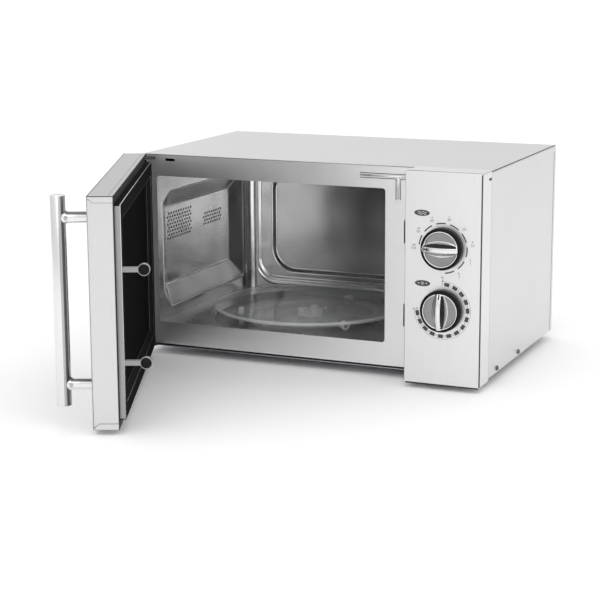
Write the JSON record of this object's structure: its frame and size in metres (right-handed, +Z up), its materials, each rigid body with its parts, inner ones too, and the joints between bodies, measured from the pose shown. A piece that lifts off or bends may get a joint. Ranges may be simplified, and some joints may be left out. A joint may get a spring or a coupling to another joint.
{
  "type": "microwave oven",
  "caption": "Stainless countertop microwave oven with a side-hinged door and bar handle, two dials, a glass turntable on rollers and its inner works.",
  "frame": {"origin": "middle of the cabinet's footprint, on the counter plane that the feet stand on", "axes": "+Z up, +Y to the rear of the cabinet, +X to the right as seen by the user in front"},
  "size_m": [0.4994, 0.6685, 0.2715],
  "materials": {
    "satin_steel": "satin",
    "panel_steel": "satin",
    "polished_steel": "polished",
    "cavity_steel": "polished",
    "zinc_steel": "zinc plated",
    "door_steel": "black",
    "hinge_steel": "black",
    "handle_steel": "polished",
    "screw_steel": "bright",
    "knob_chrome": "satin chrome",
    "foot_rubber": "matt",
    "mica": "matt mica sheet",
    "copper": "lacquered copper",
    "core_iron": "laminated, varnished",
    "can_aluminium": "drawn",
    "black_plastic": "moulded",
    "white_plastic": "moulded",
    "grey_plastic": "moulded",
    "black_gloss": "gloss",
    "tray_glass": "clear",
    "dark_glass": "smoked",
    "lamp_glass": "clear",
    "circuit_board": "solder mask",
    "heater_sheath": "heat darkened"
  },
  "bodies": {
    "cabinet": {"cover": "satin_steel", "rear_panel": "zinc_steel", "base_plate": "zinc_steel", "feet": "foot_rubber", "foot_screws": "screw_steel", "cover_screws": "screw_steel", "face_plate": "polished_steel", "cavity_left_wall": "cavity_steel", "cavity_right_wall": "cavity_steel", "cavity_ceiling": "cavity_steel", "cavity_floor": "cavity_steel", "cavity_back": "cavity_steel", "waveguide": "zinc_steel", "waveguide_cover": "mica", "magnetron": "zinc_steel", "magnetron_antenna": "copper", "transformer_core": "core_iron", "transformer_windings": "copper", "capacitor": "can_aluminium", "capacitor_clamp": "zinc_steel", "high_voltage_diode": "black_plastic", "air_duct": "white_plastic", "fan_motor": "core_iron", "turntable_motor": "zinc_steel", "timer_unit": "white_plastic", "power_selector": "white_plastic", "dial_rings": "black_plastic", "control_panel": "panel_steel", "panel_chassis": "black_plastic", "latch_board": "white_plastic", "door_switches": "black_plastic", "thermal_cutout": "zinc_steel", "filter_board": "circuit_board", "lamp": "lamp_glass", "lamp_holder": "zinc_steel", "grill_element": "heater_sheath", "cord_gland": "black_plastic", "upper_hinge": "hinge_steel", "lower_hinge": "hinge_steel"},
    "fan": {"fan_blade": "white_plastic"},
    "drive": {"drive_shaft": "screw_steel", "drive_coupler": "white_plastic"},
    "tray": {"glass_tray": "tray_glass"},
    "ring": {"roller_ring": "white_plastic"},
    "wheel_a": {"roller_a": "white_plastic"},
    "wheel_b": {"roller_b": "white_plastic"},
    "wheel_c": {"roller_c": "white_plastic"},
    "timer_dial": {"timer_knob": "knob_chrome", "timer_shaft": "screw_steel"},
    "power_dial": {"power_knob": "knob_chrome", "power_shaft": "screw_steel"},
    "door": {"door_bezel": "panel_steel", "door_frame": "door_steel", "choke_cover": "black_gloss", "outer_glass": "dark_glass", "inner_glass": "dark_glass", "door_handle": "handle_steel", "handle_screws": "screw_steel", "latch_spring": "screw_steel"},
    "latch": {"latch_lever": "grey_plastic"}
  },
  "joints": [
    {"name": "door_hinge", "type": "hinge", "parent": "cabinet", "child": "door", "pos_m": [-0.2355, -0.145, 0.13875], "axis": [0, 0, -1], "range_deg": [-66.8, 43.2]},
    {"name": "latch_slide", "type": "slide", "parent": "door", "child": "latch", "axis": [0, 0, 1], "range_m": [0, 0.004], "stiffness_N_per_m": 400, "springref_m": -0.004, "deforming": ["latch_spring"]},
    {"name": "power_turn", "type": "hinge", "parent": "cabinet", "child": "power_dial", "pos_m": [0.1925, -0.165, 0.178], "axis": [0, 1, 0], "range_deg": [0, 270]},
    {"name": "timer_turn", "type": "hinge", "parent": "cabinet", "child": "timer_dial", "pos_m": [0.1925, -0.165, 0.101], "axis": [0, 1, 0], "range_deg": [0, 270]},
    {"name": "fan_spin", "type": "hinge", "parent": "cabinet", "child": "fan", "pos_m": [0.1795, 0.135, 0.1795], "axis": [0, 1, 0], "continuous": true},
    {"name": "turntable_spin", "type": "hinge", "parent": "cabinet", "child": "drive", "pos_m": [-0.0577, 0.0129, 0.04], "axis": [0, 0, 1], "continuous": true},
    {"name": "tray_lift", "type": "slide", "parent": "drive", "child": "tray", "axis": [0, 0, 1], "range_m": [0, 0.03]},
    {"name": "ring_spin", "type": "hinge", "parent": "cabinet", "child": "ring", "pos_m": [-0.0577, 0.0129, 0.0425], "axis": [0, 0, 1], "continuous": true},
    {"name": "wheel_a_spin", "type": "hinge", "parent": "ring", "child": "wheel_a", "pos_m": [-0.04086, 0.10843, 0.0425], "axis": [-0.1736, -0.9848, 0], "continuous": true},
    {"name": "wheel_b_spin", "type": "hinge", "parent": "ring", "child": "wheel_b", "pos_m": [-0.14885, -0.02028, 0.0425], "axis": [0.9397, 0.342, 0], "continuous": true},
    {"name": "wheel_c_spin", "type": "hinge", "parent": "ring", "child": "wheel_c", "pos_m": [0.01661, -0.04945, 0.0425], "axis": [-0.766, 0.6428, 0], "continuous": true}
  ],
  "couplings": [
    {"joint": "ring_spin", "follows": "turntable_spin", "ratio": 0.5},
    {"joint": "wheel_a_spin", "follows": "turntable_spin", "ratio": 8.0833},
    {"joint": "wheel_b_spin", "follows": "turntable_spin", "ratio": 8.0833},
    {"joint": "wheel_c_spin", "follows": "turntable_spin", "ratio": 8.0833}
  ]
}
